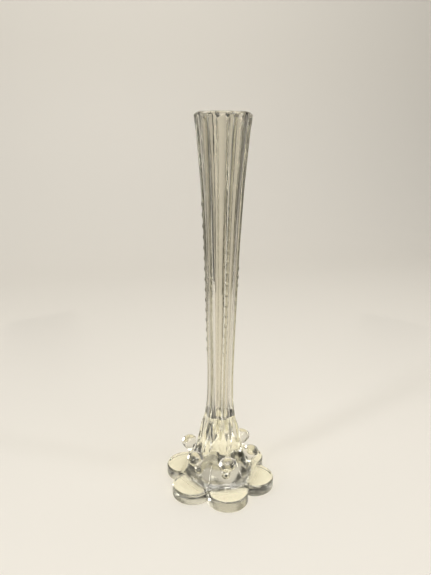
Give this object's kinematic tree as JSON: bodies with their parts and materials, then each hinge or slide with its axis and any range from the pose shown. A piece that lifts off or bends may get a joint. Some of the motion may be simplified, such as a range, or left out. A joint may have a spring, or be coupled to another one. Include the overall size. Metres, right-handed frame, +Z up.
{
  "type": "glass bud vase",
  "caption": "Tall slim trumpet bud vase of clear pressed glass with beaded ribs, a flared base with upright buds and a flower-shaped foot.",
  "frame": {"origin": "centre of the foot's underside, on the surface that the vase stands on", "axes": "+Z up along the vase's axis towards the mouth; one petal of the foot points along -Y"},
  "size_m": [0.085, 0.093, 0.3],
  "materials": {
    "fire_polished_glass": "clear, fire polished, very smooth, with a faint warm grey tint",
    "moulded_glass": "clear, pressed in a mould, with a slightly softer surface and a faint warm grey tint"
  },
  "bodies": {
    "root": {"trumpet_body": "fire_polished_glass", "long_beaded_rib_1": "moulded_glass", "long_beaded_rib_2": "moulded_glass", "long_beaded_rib_3": "moulded_glass", "short_beaded_rib_1": "moulded_glass", "short_beaded_rib_2": "moulded_glass", "short_beaded_rib_3": "moulded_glass", "flared_base": "moulded_glass", "foot_petal_1": "moulded_glass", "foot_petal_2": "moulded_glass", "foot_petal_3": "moulded_glass", "foot_petal_4": "moulded_glass", "foot_petal_5": "moulded_glass", "foot_petal_6": "moulded_glass", "bud_1": "fire_polished_glass", "bud_2": "fire_polished_glass", "bud_3": "fire_polished_glass", "bud_4": "fire_polished_glass", "bud_5": "fire_polished_glass", "bud_6": "fire_polished_glass"}
  },
  "joints": []
}
